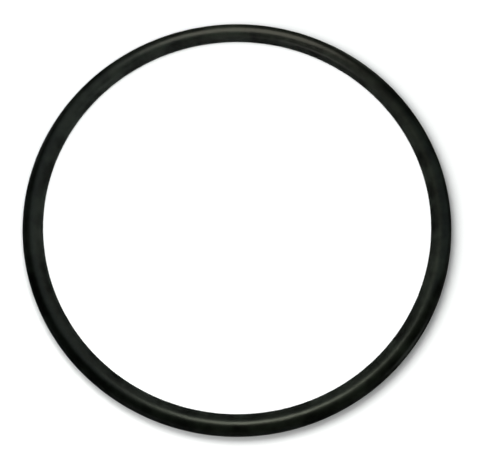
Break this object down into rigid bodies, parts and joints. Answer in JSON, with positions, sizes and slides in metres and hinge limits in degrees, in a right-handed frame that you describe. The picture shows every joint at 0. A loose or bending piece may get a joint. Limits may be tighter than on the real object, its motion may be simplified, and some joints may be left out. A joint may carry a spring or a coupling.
{
  "type": "rubber o-ring",
  "caption": "Endless black rubber sealing ring of round section, lying flat, with a fine trimmed mould line round its inside and outside.",
  "frame": {"origin": "centre of the ring, on the mid plane where the two mould halves met", "axes": "+Z along the ring's axis; the ring lies flat on a plane half a section below the origin, and X and Y are any two directions across it"},
  "size_m": [0.083, 0.083, 0.0036],
  "materials": {
    "nitrile_rubber": "satin"
  },
  "bodies": {
    "root": {"o_ring": "nitrile_rubber"}
  },
  "joints": []
}
